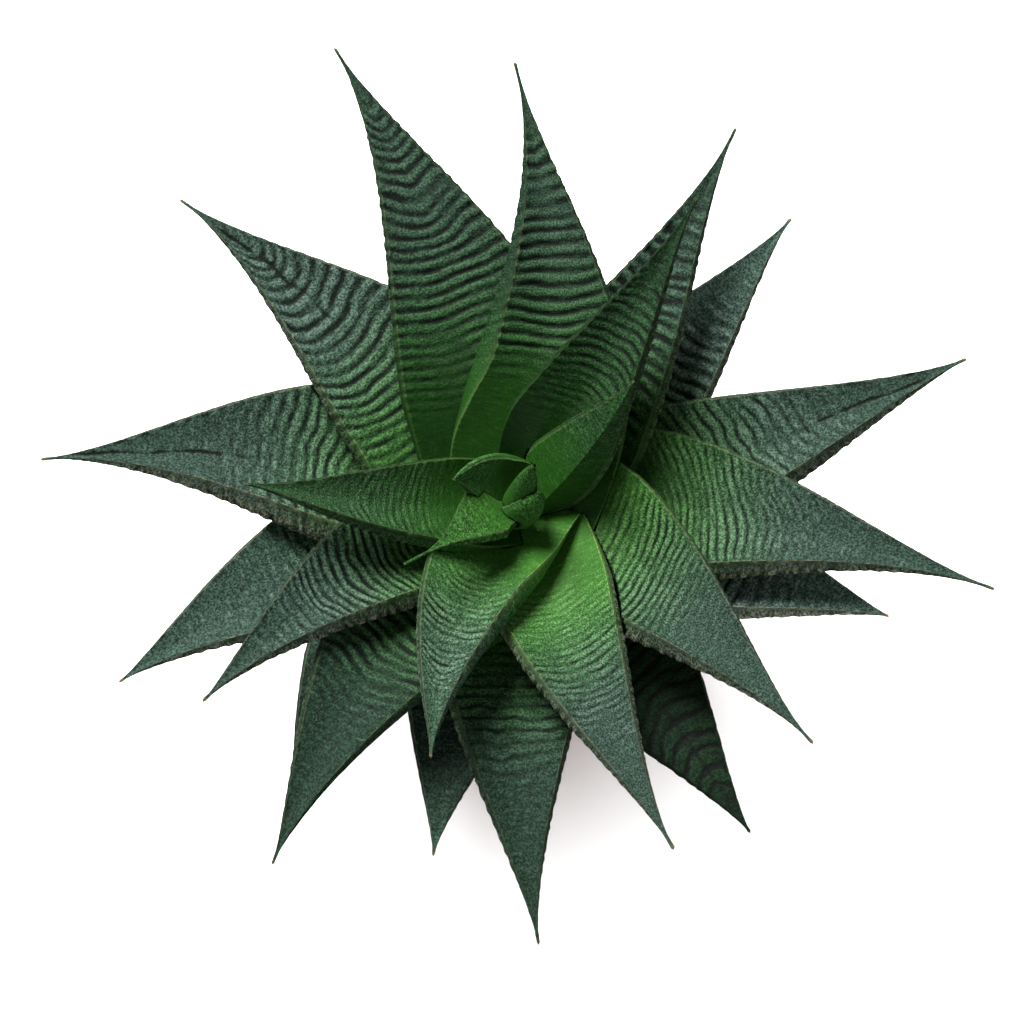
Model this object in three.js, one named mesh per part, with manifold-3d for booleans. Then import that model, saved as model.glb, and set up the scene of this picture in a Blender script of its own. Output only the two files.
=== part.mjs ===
// Potted haworthia: a rosette of pointed, cross-ridged leaves on a short stem, in soil in a small round pot.
// Millimetres, +Z up. The origin is the middle of the pot's flat underside.

import * as THREE from "three";
import { mergeVertices } from "three/addons/utils/BufferGeometryUtils.js";
import Module from "manifold-3d";

const wasm = await Module();
wasm.setup();

// Pieces that touch on the real plant are kept this far apart.
const GAP = 0.3;
const CUT_MARGIN = 0.12;
const EXTRA_ROOM = 0.01;
const MOST_EXTRA_ROOM = 0.2;

// Points are kept on a grid this fine, so that near points are one point.
const GRID = 0.002;

// Pot
const POT_HEIGHT = 40;
const POT_RIM_RADIUS = 23.8;
const POT_RIM_BAND_HEIGHT = 9;
const POT_RIM_BAND_STEP = 1.6;
const POT_FOOT_RADIUS = 16.5;
const POT_WALL = 2.6;
const POT_FLOOR = 3;
const POT_SIDES = 40;
const POT_EDGE = 0.8;
const DRAIN_HOLES = 4;
const DRAIN_HOLE_RADIUS = 2.5;
const DRAIN_RING_RADIUS = 9;

// Soil
const SOIL_TOP = 37.2;
const SOIL_MOUND = 2;
const SOIL_ROUGHNESS = 0.45;
const SOIL_SIDES = 32;

// Stem, hidden by the leaf bases, standing in a plain hole in the soil
const STEM_BURIED = 12;
const STEM_RADIUS = 4.8;
const STEM_SHOULDER = 47.5;
const STEM_NECK = 52;
const STEM_NECK_RADIUS = 2.2;
const STEM_CROWN_RADIUS = 1;
const STEM_TOP = 57.2;
const STEM_SIDES = 16;

// Leaves, counted from the youngest in the heart to the oldest at the soil
const FIRST_LEAF_BASE = 57.4;
const LEAF_BASE_STEP = 0.64;
const LEAF_START_RADIUS = 4.2;
const HEART_LEAVES = 7;
const HEART_SPREAD = 0.45;
const SEAT_FACING = 6;
const LEAF_ROOT = 3.6;
const BEND_AT = 0.35;
const WIDEST_AT = 0.28;
const BASE_WIDTH_SHARE = 0.9;
const NARROW_ROOT = 0.25;
const NARROW_RISE = 4;
const BASE_THICKNESS_SHARE = 0.38;
const TIP_THICKNESS = 0.7;
const TIP_WIDTH = 0.5;
const TIP_DRAW = 0.4;
const TIP_THINNING = 0.6;
const TIP_CUT = 1.5;
const CHANNEL_CURVE = 1.6;
const KEEL_CURVE = 1.05;
const BACK_BULGE = 0.45;

// Cross ridges, coarser than on the plant
const RIDGE_PITCH = 3.5;
const RIDGE_HEIGHT = 0.36;
const RIDGE_WAVE = 0.7;
const WAVES_ACROSS = 2.6;
const WAVE_PER_LEAF = 1.7;
const WAVE_ALONG = 6;
const RIDGE_AT_MARGIN = 0.5;
const MIDRIB_SHARE = 0.2;
const FULL_RIDGE_WIDTH = 6;
const GROWING_RIDGES = 3;
const FADING_RIDGES = 8;
const SMOOTH_BASE_STATIONS = 4;

// Sections of the room that a younger leaf takes out of the older ones
const ROOM_STATIONS = 12;
const ROOM_END = 0.985;

// Points round a leaf's section: across the face from margin to margin, then round the back by angle.
const FACE_POINTS = [-1, -0.5, 0, 0.5, 1];
const BACK_ANGLES = [58, 0, -58];

// Each leaf, from the youngest: the tip's azimuth, distance from the stem's axis and height, then the
// full width, the azimuth of its seat on the stem and of its bend, both counted from the tip's, the
// slope at the base, how finely it tapers, its thickness, the depth of its channel as a share of its
// half width (a keel where it is negative) and the share of its length that has no ridges. Some leaves
// differ in how much deeper than LEAF_ROOT they start, how far they roll over to the right, how narrow
// they are at the base, where they are widest, or how much more of the width lies on the right.
const LEAVES = [
  leaf([55, 2.5, 70], 3.4, 180, 0, 4, 0.75, 2.4, 0.2, 0.75),
  leaf([215, 17.5, 68], 7.6, 57, 4, 1.6, 3.5, 1.8, 0.1, 1, { tuck: 4.5, root: 0.2, widest: 0.31, skew: 0.5 }),
  leaf([350, 2.4, 66.5], 6.4, -90, -65, 4, 0.8, 1.2, 0.8, 0.75, { tuck: -0.5 }),
  leaf([172.4, 8.3, 66.5], 8.6, -60, -40, 2, 1, 1.6, 0.25, 0.6),
  leaf([37, 17, 78], 8.8, -25, -12, 1.5, 1.3, 2.4, -0.8, 0.5, { roll: 24, skew: -0.2 }),
  leaf([180, 33.6, 69], 11.3, -10, 8, 0.8, 1.5, 3, 0.4, 0.3),
  leaf([58.5, 41.5, 73], 13.2, 20, -3, 0.8, 1.7, 3.2, 0.4, 0.25, { root: 0.3 }),
  leaf([252, 35.3, 66], 14, -22, -20, 0.65, 1.55, 3.2, 0.3, 0.35, { tuck: 4 }),
  leaf([90.8, 57, 63], 20.5, -10, -19, 0.5, 2, 3.6, 0.28, 0.3),
  leaf([213.2, 46.6, 61], 16.4, -25, -20, 0.5, 1.5, 3.4, 0.28, 0.3),
  leaf([292.8, 47.8, 62], 15.3, 0, -7, 0.5, 1.7, 3.6, 0.28, 0.25, { tuck: 1.2 }),
  leaf([319.5, 47, 60], 19, 75, 13, 0.48, 1.85, 3.6, 0.28, 0.35, { tuck: 3 }),
  leaf([235.8, 54.2, 56], 20.6, -20, -20, 0.4, 1.5, 3.6, 0.25, 0.3),
  leaf([61, 56.3, 60], 17.5, 0, -5, 0.42, 1.8, 3.6, 0.28, 0.25),
  leaf([111.4, 65.3, 58], 22.3, -15, -13, 0.38, 1.7, 3.8, 0.25, 0.28),
  leaf([272.3, 54.1, 52], 20.2, -9, -9, 0.34, 1.6, 3.6, 0.25, 0.25),
  leaf([350.3, 59.8, 56], 20.6, 40, 18, 0.34, 1.8, 3.8, 0.25, 0.28),
  leaf([136.6, 59.7, 56], 21.5, -12, -12, 0.32, 1.65, 3.8, 0.25, 0.25),
  leaf([306, 48.6, 48], 20.4, 2, 2, 0.3, 1.4, 3.6, 0.22, 0.2),
  leaf([20.2, 60.2, 53], 20.2, -7, -7, 0.3, 1.5, 3.8, 0.25, 0.25),
  leaf([173.4, 60.7, 55], 21.6, -22, -20, 0.3, 1.45, 3.8, 0.25, 0.25),
  leaf([345.7, 47.8, 49], 20, 6, 6, 0.26, 1.3, 3.6, 0.22, 0.2),
  leaf([49.4, 53.4, 50], 19.2, -3, -3, 0.26, 1.5, 3.6, 0.22, 0.2),
  leaf([202, 54.3, 49], 22.4, -22, -23.5, 0.24, 1.4, 3.6, 0.22, 0.2),
  leaf([230.5, 45, 47], 20.4, -42, -42, 0.22, 1.2, 3.4, 0.22, 0.2),
  leaf([255.4, 43.3, 46.5], 19, -10, -10, 0.22, 1.4, 3.4, 0.22, 0.2),
];

function leaf(tip, width, seat, bend, slope, taper, thick, channel, smooth, own = {}) {
  const usual = { tuck: 0, roll: 0, root: BASE_WIDTH_SHARE, widest: WIDEST_AT, skew: 0 };
  return { tip, width, seat, bend, slope, taper, thick, channel, smooth, ...usual, ...own };
}

const HEART_COLOR = new THREE.Color(0x3f8a38);
const OUTER_COLOR = new THREE.Color(0x24473a);

function radians(degrees) {
  return THREE.MathUtils.degToRad(degrees);
}

// ---- Solids ----

// The same surface with only its points, set on the grid and shared wherever they meet.
function welded(geometry) {
  const bare = geometry.clone();
  bare.deleteAttribute("normal");
  bare.deleteAttribute("uv");
  const values = bare.attributes.position.array;
  bare.attributes.position.array = values.map((value) => Math.round(value / GRID) * GRID);
  return mergeVertices(bare, GRID / 2);
}

function toSolid(geometry) {
  const merged = welded(geometry);
  const mesh = new wasm.Mesh({
    numProp: 3,
    vertProperties: new Float32Array(merged.attributes.position.array),
    triVerts: new Uint32Array(merged.index.array),
  });
  return new wasm.Manifold(mesh);
}

function toGeometry(solid) {
  const mesh = solid.getMesh();
  const geometry = new THREE.BufferGeometry();
  geometry.setAttribute("position", new THREE.BufferAttribute(new Float32Array(mesh.vertProperties), 3));
  geometry.setIndex(new THREE.BufferAttribute(new Uint32Array(mesh.triVerts), 1));
  return geometry;
}

// The largest body of a solid: scraps that a cut leaves loose are dropped.
function largestBody(solid) {
  const bodies = toSolid(toGeometry(solid)).decompose();
  bodies.sort((one, other) => other.volume() - one.volume());
  return bodies[0];
}

// Whether every edge joins just two faces. A cut can leave a surface that touches itself along an edge.
function isCleanlyClosed(geometry) {
  const index = welded(geometry).index.array;
  const uses = new Map();
  for (let i = 0; i < index.length; i += 3) {
    const corners = [index[i], index[i + 1], index[i + 2]];
    if (new Set(corners).size === 3) {
      corners.forEach((from, side) => {
        const to = corners[(side + 1) % 3];
        const edge = `${Math.min(from, to)}:${Math.max(from, to)}`;
        uses.set(edge, (uses.get(edge) || 0) + 1);
      });
    }
  }
  return [...uses.values()].every((count) => count === 2) && toSolid(geometry).decompose().length === 1;
}

// A solid of revolution about Z from [radius, height] points that start and end on the axis.
function turned(profile, sides) {
  const points = profile.map(([radius, height]) => new THREE.Vector2(radius, height));
  const geometry = new THREE.LatheGeometry(points, sides);
  geometry.rotateX(Math.PI / 2);
  return geometry;
}

function standingRod(radius, bottom, top, sides) {
  const geometry = new THREE.CylinderGeometry(radius, radius, top - bottom, sides);
  geometry.rotateX(Math.PI / 2);
  geometry.translate(0, 0, (bottom + top) / 2);
  return geometry;
}

// ---- Pot, soil and stem ----

function innerRadiusAt(height) {
  const share = (height - POT_FLOOR) / (POT_HEIGHT - POT_FLOOR);
  const bottom = POT_FOOT_RADIUS - POT_WALL;
  const top = POT_RIM_RADIUS - POT_WALL - POT_RIM_BAND_STEP;
  return THREE.MathUtils.lerp(bottom, top, share);
}

function makePot() {
  const bandBottom = POT_HEIGHT - POT_RIM_BAND_HEIGHT;
  const wallTop = POT_RIM_RADIUS - POT_RIM_BAND_STEP;
  const body = toSolid(turned([
    [0, 0],
    [POT_FOOT_RADIUS - POT_EDGE, 0],
    [POT_FOOT_RADIUS, POT_EDGE],
    [wallTop - POT_EDGE, bandBottom - POT_EDGE],
    [POT_RIM_RADIUS - POT_EDGE / 2, bandBottom],
    [POT_RIM_RADIUS, bandBottom + POT_EDGE],
    [POT_RIM_RADIUS, POT_HEIGHT - POT_EDGE],
    [POT_RIM_RADIUS - POT_EDGE, POT_HEIGHT],
    [innerRadiusAt(POT_HEIGHT) + POT_EDGE, POT_HEIGHT],
    [innerRadiusAt(POT_HEIGHT - POT_EDGE), POT_HEIGHT - POT_EDGE],
    [innerRadiusAt(POT_FLOOR), POT_FLOOR],
    [0, POT_FLOOR],
  ], POT_SIDES));
  let pot = body;
  for (let i = 0; i < DRAIN_HOLES; i += 1) {
    const angle = (2 * Math.PI * (i + 0.5)) / DRAIN_HOLES;
    const hole = standingRod(DRAIN_HOLE_RADIUS, -1, POT_FLOOR + 1, 12);
    hole.translate(DRAIN_RING_RADIUS * Math.cos(angle), DRAIN_RING_RADIUS * Math.sin(angle), 0);
    pot = pot.subtract(toSolid(hole));
  }
  return toGeometry(pot);
}

function soilHeight(radius, angle) {
  const edge = innerRadiusAt(SOIL_TOP);
  const mound = SOIL_MOUND * (1 - (radius / edge) ** 2);
  const lumps = Math.sin(3 * angle + radius) + Math.sin(5 * angle - 0.7 * radius) * Math.cos(radius);
  return SOIL_TOP + mound + (SOIL_ROUGHNESS * lumps) / 2;
}

function makeSoil() {
  const bottom = POT_FLOOR + GAP;
  const topEdge = innerRadiusAt(SOIL_TOP) - GAP;
  const rings = [0.82, 0.62, 0.42, 0.26].map((share) => [topEdge * share, SOIL_TOP]);
  const geometry = turned([
    [0, bottom],
    [innerRadiusAt(bottom) - GAP - 0.2, bottom],
    [topEdge - 0.1, SOIL_TOP],
    ...rings,
    [0, SOIL_TOP],
  ], SOIL_SIDES);
  const position = geometry.attributes.position;
  for (let i = 0; i < position.count; i += 1) {
    const radius = Math.hypot(position.getX(i), position.getY(i));
    if (position.getZ(i) > SOIL_TOP - 0.01 && radius < topEdge - 0.5) {
      const angle = radius < 0.01 ? 0 : Math.atan2(position.getY(i), position.getX(i));
      position.setZ(i, soilHeight(radius, Math.round(angle * 1e4) / 1e4));
    }
  }
  const hole = standingRod(STEM_RADIUS + GAP, SOIL_TOP - STEM_BURIED - GAP, SOIL_TOP + 10, STEM_SIDES);
  return toGeometry(toSolid(geometry).subtract(toSolid(hole)));
}

function stemProfile(grow) {
  const bottom = SOIL_TOP - STEM_BURIED - grow;
  return [
    [0, bottom],
    [STEM_RADIUS - 1 + grow, bottom],
    [STEM_RADIUS + grow, bottom + 1],
    [STEM_RADIUS + grow, STEM_SHOULDER],
    [STEM_NECK_RADIUS + grow, STEM_NECK],
    [STEM_CROWN_RADIUS, STEM_TOP + grow],
    [0, STEM_TOP + grow],
  ];
}

// ---- Leaves ----

// Half the width at a share of the length: it grows from the base to where the leaf is widest, and is
// drawn out from there to the tip.
function halfWidth(spec, along) {
  const half = spec.width / 2;
  if (along < spec.widest) {
    const share = along / spec.widest;
    const rise = spec.root < NARROW_ROOT ? share ** NARROW_RISE : Math.sin((Math.PI / 2) * share);
    return half * THREE.MathUtils.lerp(spec.root, 1, rise);
  }
  const out = Math.min(1, (along - spec.widest) / (1 - spec.widest));
  const drawn = (1 - out) ** spec.taper * (1 + (spec.taper - TIP_DRAW) * out);
  return Math.max(TIP_WIDTH / 2, half * drawn);
}

function thickness(spec, along) {
  const swell = THREE.MathUtils.smoothstep(along, 0, spec.widest);
  const share = THREE.MathUtils.lerp(BASE_THICKNESS_SHARE, 1, swell);
  const outer = along < spec.widest ? 1 : (halfWidth(spec, along) / (spec.width / 2)) ** TIP_THINNING;
  return Math.max(TIP_THICKNESS, spec.thick * share * outer);
}

function polar(azimuth, radius, height) {
  const angle = radians(azimuth);
  return new THREE.Vector3(Math.cos(angle) * radius, Math.sin(angle) * radius, height);
}

function leafCurve(spec, rank) {
  const [azimuth, reach, height] = spec.tip;
  const baseHeight = FIRST_LEAF_BASE - LEAF_BASE_STEP * rank;
  const inward = Math.min(1, (rank + 0.1) / HEART_LEAVES) ** HEART_SPREAD;
  const bendRadius = BEND_AT * reach + (LEAF_START_RADIUS - Math.min(0, spec.tuck)) * inward;
  const start = polar(azimuth + spec.seat, LEAF_START_RADIUS * inward, baseHeight);
  start.add(polar(azimuth + spec.bend, -(LEAF_ROOT + spec.tuck) * inward, 0));
  const bend = polar(azimuth + spec.bend, bendRadius, baseHeight + spec.slope * BEND_AT * reach);
  return new THREE.QuadraticBezierCurve3(start, bend, polar(azimuth, reach, height));
}

// The leaf's own axes at a share of its length: across it to the left, and out of its face. A long leaf
// faces along its own run, and a short upright one away from the stem.
function leafAxes(spec, curve, along) {
  const forward = curve.getTangent(along);
  const heading = curve.v2.clone().sub(curve.v0).add(polar(spec.tip[0] + spec.seat, SEAT_FACING, 0));
  const left = new THREE.Vector3(-heading.y, heading.x, 0).normalize();
  left.addScaledVector(forward, -left.dot(forward)).normalize();
  left.applyAxisAngle(forward, radians(spec.roll));
  const outward = new THREE.Vector3().crossVectors(forward, left);
  return { left, outward };
}

// Half the width on the left, where side is positive, or on the right.
function sideWidth(spec, along, side) {
  return halfWidth(spec, along) * (1 - spec.skew * Math.sign(side));
}

// One point of a section, as [across, out of the face], for a leaf thickened all round by grow.
function facePoint(spec, along, x, grow) {
  const curve = spec.channel > 0 ? CHANNEL_CURVE : KEEL_CURVE;
  const out = spec.channel * halfWidth(spec, along) * Math.abs(x) ** curve + grow;
  return [x * (sideWidth(spec, along, x) + grow), out];
}

function backPoint(spec, along, degrees, grow) {
  const thick = thickness(spec, along);
  const angle = radians(degrees);
  const bulge = BACK_BULGE * thick * Math.abs(Math.sin(2 * angle));
  const across = (sideWidth(spec, along, angle) + bulge + grow) * Math.sin(angle);
  const dip = spec.channel * halfWidth(spec, along) * Math.sin(angle) ** 2;
  return [across, dip - (thick + grow) * Math.cos(angle)];
}

function sectionPoints(spec, along, grow, across = FACE_POINTS) {
  const face = across.map((x) => facePoint(spec, along, x, grow));
  const back = BACK_ANGLES.map((degrees) => backPoint(spec, along, degrees, grow));
  return [...face, ...back];
}

// Closed skin over rings of points, with a fan from the keel over the base and a single point at the tip.
function skin(rings, tip) {
  const size = rings[0].length;
  const positions = [];
  const index = [];
  rings.forEach((ring) => ring.forEach((point) => positions.push(point.x, point.y, point.z)));
  positions.push(tip.x, tip.y, tip.z);
  const keel = size - 2;
  for (let i = 1; i < size - 1; i += 1) {
    index.push(keel, (keel + i) % size, (keel + i + 1) % size);
  }
  for (let ring = 0; ring < rings.length - 1; ring += 1) {
    for (let i = 0; i < size; i += 1) {
      const a = ring * size + i;
      const b = ring * size + ((i + 1) % size);
      index.push(a, b + size, b);
      index.push(a, a + size, b + size);
    }
  }
  const last = (rings.length - 1) * size;
  for (let i = 0; i < size; i += 1) {
    index.push(last + ((i + 1) % size), last + i, rings.length * size);
  }
  const geometry = new THREE.BufferGeometry();
  geometry.setAttribute("position", new THREE.BufferAttribute(new Float32Array(positions), 3));
  geometry.setIndex(index);
  return geometry;
}

function stations(spec, length) {
  const list = [];
  const start = Math.min(spec.smooth, spec.widest);
  for (let i = 0; i < SMOOTH_BASE_STATIONS; i += 1) {
    list.push({ along: (start * i) / SMOOTH_BASE_STATIONS, ridge: 0 });
  }
  const last = 1 - TIP_CUT / length;
  const steps = Math.max(2, Math.round(((last - start) * length) / (RIDGE_PITCH / 2)));
  for (let i = 0; i <= steps; i += 1) {
    const along = THREE.MathUtils.lerp(start, last, i / steps);
    const growing = Math.min(1, (i + 0.5) / GROWING_RIDGES);
    const fading = Math.min(1, (steps - i + 1) / FADING_RIDGES);
    const ridge = (i % 2 === 0 ? -1 : 1) * Math.min(growing, fading);
    list.push({ along, ridge: along < spec.smooth ? 0 : ridge });
  }
  return list;
}

function leafGeometry(spec, rank) {
  const curve = leafCurve(spec, rank);
  const length = curve.getLength();
  const phase = WAVE_PER_LEAF * rank;
  const rings = stations(spec, length).map(({ along, ridge }) => {
    const size = Math.min(1, (2 * halfWidth(spec, along)) / FULL_RIDGE_WIDTH);
    return sectionPoints(spec, along, 0).map(([across, out], i) => {
      const x = across / (spec.width / 2);
      const turn = WAVES_ACROSS * x + phase + WAVE_ALONG * along;
      const wave = ridge === 0 ? 0 : RIDGE_WAVE * size * Math.sin(turn);
      const shifted = THREE.MathUtils.clamp(along + wave / length, 0, 1);
      const { left, outward } = leafAxes(spec, curve, shifted);
      const onFace = i < FACE_POINTS.length;
      const raised = RIDGE_HEIGHT * ridge * size * (onFace ? 1 : -1);
      const side = Math.abs(x) > MIDRIB_SHARE ? Math.sign(across) : 0;
      const widened = RIDGE_HEIGHT * ridge * size * RIDGE_AT_MARGIN * side;
      const point = curve.getPoint(shifted);
      point.addScaledVector(left, across + widened);
      return point.addScaledVector(outward, out + raised);
    });
  });
  const axes = leafAxes(spec, curve, 1);
  const tip = curve.getPoint(1).addScaledVector(axes.outward, -TIP_THICKNESS / 2);
  return skin(rings, tip);
}

// A smooth leaf, thicker all round by the ridges and the gap: what an older leaf makes room for.
function leafRoom(spec, rank, extra) {
  const grow = GAP + RIDGE_HEIGHT + CUT_MARGIN + extra;
  const curve = leafCurve(spec, rank);
  const shares = [...Array(ROOM_STATIONS).keys()].map((i) => (ROOM_END * i) / (ROOM_STATIONS - 1));
  if (spec.root < NARROW_ROOT) {
    shares.push(spec.widest);
    shares.sort((one, other) => one - other);
  }
  const rings = shares.map((along) => {
    const { left, outward } = leafAxes(spec, curve, along);
    const middle = curve.getPoint(along);
    if (along === 0) {
      middle.addScaledVector(curve.getTangent(0), -grow);
    }
    return sectionPoints(spec, along, grow, [-1, 0, 1]).map(([across, out]) => {
      return middle.clone().addScaledVector(left, across).addScaledVector(outward, out);
    });
  });
  const tip = curve.getPoint(1).addScaledVector(curve.getTangent(1), 2 * grow);
  return skin(rings, tip);
}

// ---- Assembly ----

function leafColor(rank) {
  const share = Math.min(1, rank / 12);
  return HEART_COLOR.clone().lerp(OUTER_COLOR, share);
}

function named(name, geometry, color, roughness) {
  const material = new THREE.MeshStandardMaterial({ color, roughness, metalness: 0 });
  const mesh = new THREE.Mesh(geometry, material);
  mesh.name = name;
  return mesh;
}

const plant = new THREE.Group();
plant.add(named("pot", makePot(), 0xb5673f, 0.85));
plant.add(named("soil", makeSoil(), 0x3b2c22, 0.95));
plant.add(named("stem", turned(stemProfile(0), STEM_SIDES), 0x7d7a52, 0.8));

// A leaf cut clear of the stem and of every younger leaf. Where the cut leaves a surface that touches
// itself, it is made again with a little more room.
function fittedLeaf(spec, rank) {
  for (let extra = 0; extra < MOST_EXTRA_ROOM; extra += EXTRA_ROOM) {
    const stemRoom = toSolid(turned(stemProfile(GAP + extra), STEM_SIDES));
    let cut = toSolid(leafGeometry(spec, rank)).subtract(stemRoom);
    LEAVES.slice(0, rank).forEach((younger, order) => {
      cut = cut.subtract(toSolid(leafRoom(younger, order, extra)));
    });
    const geometry = toGeometry(largestBody(cut));
    if (isCleanlyClosed(geometry)) {
      return geometry;
    }
  }
  throw new Error(`leaf ${rank + 1} could not be cut cleanly`);
}

LEAVES.forEach((spec, rank) => {
  const name = `leaf_${String(rank + 1).padStart(2, "0")}`;
  plant.add(named(name, fittedLeaf(spec, rank), leafColor(rank), 0.6));
});

export default plant;
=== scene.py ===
import math

import bmesh
import bpy
import numpy as np
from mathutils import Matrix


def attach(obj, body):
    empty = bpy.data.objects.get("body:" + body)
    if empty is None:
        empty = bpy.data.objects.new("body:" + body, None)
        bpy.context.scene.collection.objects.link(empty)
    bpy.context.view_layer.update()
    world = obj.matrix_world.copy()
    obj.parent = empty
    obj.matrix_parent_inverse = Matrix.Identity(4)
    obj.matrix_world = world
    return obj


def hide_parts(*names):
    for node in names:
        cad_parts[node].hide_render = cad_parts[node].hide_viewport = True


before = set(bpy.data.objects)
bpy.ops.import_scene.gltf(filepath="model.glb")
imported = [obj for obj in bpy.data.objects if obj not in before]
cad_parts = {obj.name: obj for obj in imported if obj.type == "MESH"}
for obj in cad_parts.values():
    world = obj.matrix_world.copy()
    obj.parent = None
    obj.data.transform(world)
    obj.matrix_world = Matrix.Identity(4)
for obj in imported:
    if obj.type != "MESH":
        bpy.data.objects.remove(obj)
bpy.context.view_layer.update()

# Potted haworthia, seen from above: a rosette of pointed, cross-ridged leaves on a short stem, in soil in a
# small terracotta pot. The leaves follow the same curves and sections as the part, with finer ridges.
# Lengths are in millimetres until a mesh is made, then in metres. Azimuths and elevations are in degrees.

MM = 0.001

# Camera: the view from above, tilted a little to the front
CAMERA_ELEVATION = 75
CAMERA_DISTANCE = 600
CAMERA_LENS = 168.75
CAMERA_SENSOR = 36
CAMERA_TARGET = (-1.1, 0.1, 55)

# Lamps: azimuth, elevation, distance and size in metres, and power. The key stands behind on the left and a
# weak fill in front. The third hangs overhead and lights the floor alone. All aim at a point on the axis.
KEY_LAMP = (118, 50, 1.2, 0.6, 28)
FILL_LAMP = (285, 25, 1.4, 0.9, 2.5)
FLOOR_LAMP = (90, 89, 1.5, 1.6, 58)
LAMP_AIM = 50

# Sky: its strength goes from one value to another as a direction turns from a little below to well above
SKY_HEIGHTS = (-0.2, 0.5)
SKY_STRENGTHS = (0.3, 0.2)

# Floor
FLOOR_SIZE = 4000
FLOOR_DROP = 0.2

# Pot
POT_HEIGHT = 40
POT_RIM_RADIUS = 23.8
POT_RIM_BAND_HEIGHT = 9
POT_RIM_BAND_STEP = 1.6
POT_BAND_SLANT = 0.6
POT_FOOT_RADIUS = 16.5
POT_WALL = 2.6
POT_FLOOR = 3
POT_EDGE = 0.9
POT_SIDES = 144
DRAIN_HOLES = 4
DRAIN_HOLE_RADIUS = 2.5
DRAIN_HOLE_SIDES = 32
DRAIN_CUT_BELOW = 1
DRAIN_CUT_ABOVE = 2
DRAIN_RING_RADIUS = 9

# Soil. Its lumps are given by their size, height and seed.
SOIL_TOP = 37.2
SOIL_MOUND = 2
SOIL_LUMPS = ((3, 0.35, 7), (1.1, 0.22, 8), (0.5, 0.1, 9))
SOIL_EDGE_DEPTH = 1
SOIL_EDGE_GAP = 0.25
SOIL_FOOT_GAP = 0.5
SOIL_FLOOR_GAP = 0.3
SOIL_SIDES = 160
SOIL_RINGS = 46
STEM_SIDE_GAP = 0.2
STEM_FLOOR_GAP = 0.3

# Loose grains on the soil
GRAINS = 900
GRAIN_SEED = 11
FINE_GRAINS = (0.25, 0.6)
COARSE_GRAINS = (0.6, 1.1)
FINE_SHARE = 0.85
GRAIN_STRETCH = (0.7, 1.2)
GRAIN_DENTS = 0.18
GRAIN_LIFT = 0.1
GRAIN_WALL_GAP = 1.2
GRAIN_STEM_GAP = 1

# Stem. Low rings show where old leaves have fallen.
STEM_BURIED = 12
STEM_RADIUS = 4.8
STEM_CHAMFER = 1
STEM_SHOULDER = 47.5
STEM_NECK = 52
STEM_NECK_RADIUS = 2.2
STEM_CROWN_RADIUS = 1
STEM_TOP = 57.2
STEM_SIDES = 96
STEM_STEP = 0.5
SCAR_DEPTH = 0.12
SCARS_UP = 4.5
SCAR_WAVES = 3
SCAR_LEAST_RADIUS = 1.5

# Shape of the leaves, which are ranked from the youngest in the heart to the oldest at the soil
FIRST_LEAF_BASE = 57.4
LEAF_BASE_STEP = 0.64
LEAF_START_RADIUS = 4.2
HEART_LEAVES = 7
HEART_SPREAD = 0.45
FIRST_MIDDLE_RANK = 5
FIRST_OLD_RANK = 14
SEAT_FACING = 6
LEAF_ROOT = 3.6
BEND_AT = 0.35
WIDEST_AT = 0.28
BASE_WIDTH_SHARE = 0.9
NARROW_ROOT = 0.25
NARROW_RISE = 4
BASE_THICKNESS_SHARE = 0.38
TIP_DRAW = 0.4
TIP_THINNING = 0.6
TIP_THICKNESS = 0.7
TIP_WIDTH = 0.5
FINE_TIP_THICKNESS = 0.22
FINE_TIP_WIDTH = 0.2
FINE_TIP_CUT = 0.25
CHANNEL_CURVE = 1.6
KEEL_CURVE = 1.05
BACK_BULGE = 0.45

# The room that a leaf takes up, with plain sections
CONTACT_GAP = 0.12
RELIEF_ROOM = 0.8
ROOM_END = 0.985
ROOM_STATIONS = 40
ROOM_COLUMNS = 9
STEM_ROOM_SIDES = 24

# Fineness of a leaf's mesh
STATIONS_PER_RIDGE = 7
FEWEST_STATIONS = 60
ACROSS_STEP = 0.36
FEWEST_ACROSS = 6

# How much darker the furrows and lighter the crests are coloured than their height alone gives: painted shade
# in the furrows and painted light on the crests
RIDGE_PAINTED_LIGHT_AND_SHADE = 1.15

# Course of the ridges. They bend towards the tip at the margins of a leaf's outer half, wave, and wander.
# High ridges wander less than low ones, fine ridges less than coarse ones, and all of them more further out.
OUTER_HALF = (0.4, 0.75)
CHEVRON = 0.8
WAVE_HEIGHT = 0.35
WAVE_ACROSS = 0.45
WAVE_ALONG = 0.06
WAVE_SHIFT = 1.7
HIGH_RELIEF = (0.08, 0.16)
HIGH_CALM = 0.5
OUTER_WANDER = 0.7
COARSEST_PITCH = 1.9

# Strength of the ridges. Towards the tip they are part ridge and part lump, and fade.
FULL_RELIEF = 0.09
UNBROKEN = 0.64
TIP_RIDGES = 0.45
TIP_LUMPS = 0.55
TIP_FADING = 0.85
NARROW_HALF = (0.2, 1.8)

# Crease along the midrib. Its depth is on the ridges' scale, where a furrow is 0 and a crest is 1.
CREASE_WIDTH = 0.26
# The colour follows the crease's depth, which darkens it as painted shade
CREASE_DEPTH = -0.3
CREASE_START = (0.5, 0.7)
CREASE_END = (0.9, 0.97)
CREASE_UNBROKEN = 0.65

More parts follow.
